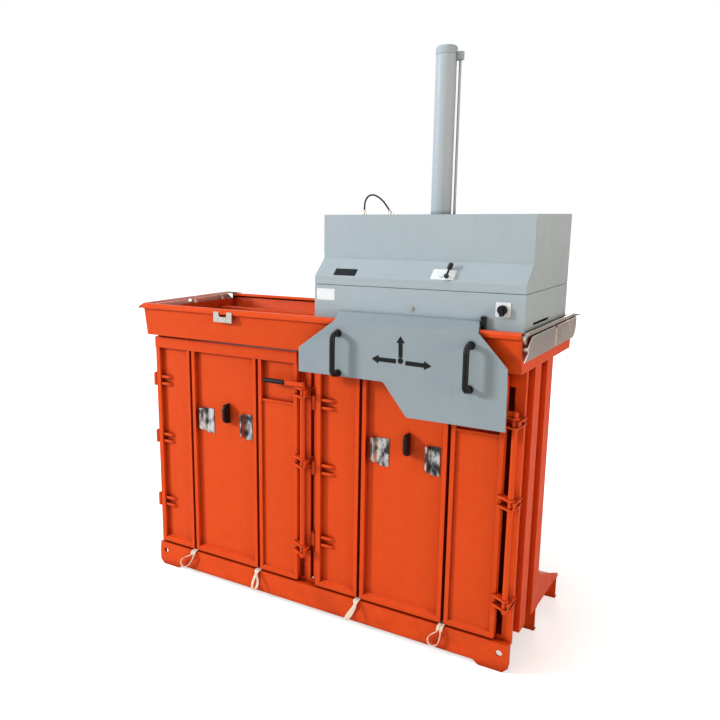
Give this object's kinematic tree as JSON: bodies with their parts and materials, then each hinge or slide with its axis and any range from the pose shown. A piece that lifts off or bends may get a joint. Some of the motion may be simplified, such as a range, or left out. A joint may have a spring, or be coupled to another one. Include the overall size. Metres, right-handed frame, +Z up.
{
  "type": "recycling baler",
  "caption": "Vertical baler with two side-by-side chambers, hinged doors with strap slots, and one hydraulic press head that slides between them.",
  "frame": {"origin": "on the floor, midway between the two chambers and midway between the front of the apron handles and the rear cross-member", "axes": "+X to the right along the door side, +Y towards the back, +Z up"},
  "size_m": [1.828, 0.879, 2.361],
  "materials": {
    "orange_paint": "gloss powder coat",
    "grey_paint": "satin powder coat",
    "cylinder_paint": "satin paint",
    "stainless_steel": "brushed",
    "zinc_plate": "zinc plated",
    "bright_steel": "bright plated",
    "black_plastic": "matt",
    "white_plastic": "satin",
    "black_rubber": "matt",
    "tank_paint": "satin paint",
    "cast_aluminium": "as cast",
    "strap_fabric": "woven"
  },
  "bodies": {
    "frame": {"front_sill": "orange_paint", "cross_members": "orange_paint", "chamber_floors": "orange_paint", "left_side_wall": "orange_paint", "right_side_wall": "orange_paint", "centre_wall": "orange_paint", "rear_wall": "orange_paint", "collar": "orange_paint", "press_rails": "orange_paint", "end_guards": "stainless_steel", "end_rails": "stainless_steel", "end_stops": "black_rubber", "lip_clips": "zinc_plate", "frame_hinges": "orange_paint", "hinge_pins": "orange_paint", "latch_keepers": "orange_paint", "right_door": "orange_paint", "right_door_hinges": "orange_paint", "right_rod_guides": "orange_paint", "right_latch_rod": "orange_paint", "right_lever_grip": "black_plastic", "right_strap_hooks": "bright_steel", "right_strap_cutter": "black_plastic", "strap_loop_1": "strap_fabric", "strap_loop_2": "strap_fabric", "strap_loop_3": "strap_fabric", "strap_loop_4": "strap_fabric"},
    "left_door": {"left_door": "orange_paint", "left_door_hinges": "orange_paint", "left_rod_guides": "orange_paint", "left_strap_hooks": "bright_steel", "left_strap_cutter": "black_plastic"},
    "left_latch": {"left_latch_rod": "orange_paint", "left_lever_grip": "black_plastic"},
    "press": {"press_deck": "tank_paint", "slide_shoes": "black_plastic", "press_body": "grey_paint", "top_cover": "grey_paint", "cylinder_tube": "cylinder_paint", "cylinder_cap": "grey_paint", "pressure_pipe": "cylinder_paint", "oil_tank": "tank_paint", "electric_motor": "tank_paint", "hydraulic_pump": "tank_paint", "valve_block": "cast_aluminium", "electrical_box": "tank_paint", "switch_plate": "white_plastic", "control_boss": "white_plastic", "head_lock": "zinc_plate", "hose_fittings": "zinc_plate", "control_hose": "black_rubber", "apron_brackets": "grey_paint", "apron_catch": "black_plastic"},
    "apron": {"apron": "grey_paint", "left_apron_handle": "black_plastic", "right_apron_handle": "black_plastic"},
    "ram": {"piston_rod": "bright_steel", "platen": "orange_paint"},
    "main_switch": {"main_switch_knob": "black_plastic"},
    "control_lever": {"control_lever": "black_plastic"}
  },
  "joints": [
    {"name": "press_slide", "type": "slide", "parent": "frame", "child": "press", "axis": [1, 0, 0], "range_m": [-0.9, 0]},
    {"name": "ram_slide", "type": "slide", "parent": "press", "child": "ram", "axis": [0, 0, 1], "range_m": [-0.72, 0]},
    {"name": "apron_lift", "type": "slide", "parent": "press", "child": "apron", "axis": [0, 0, 1], "range_m": [0, 0.02]},
    {"name": "left_door_hinge", "type": "hinge", "parent": "frame", "child": "left_door", "pos_m": [-0.893, -0.271, 0.667], "axis": [0, 0, -1], "range_deg": [0, 110]},
    {"name": "left_latch_turn", "type": "hinge", "parent": "left_door", "child": "left_latch", "pos_m": [-0.03, -0.308, 0.667], "axis": [0, 0, 1], "range_deg": [0, 90]},
    {"name": "main_switch_turn", "type": "hinge", "parent": "press", "child": "main_switch", "pos_m": [0.8, -0.298, 1.402], "axis": [0, -1, 0], "range_deg": [0, 90]},
    {"name": "control_lever_turn", "type": "hinge", "parent": "press", "child": "control_lever", "pos_m": [0.585, -0.28624, 1.50016], "axis": [0, -0.6816, 0.7317], "range_deg": [-40, 40]}
  ]
}
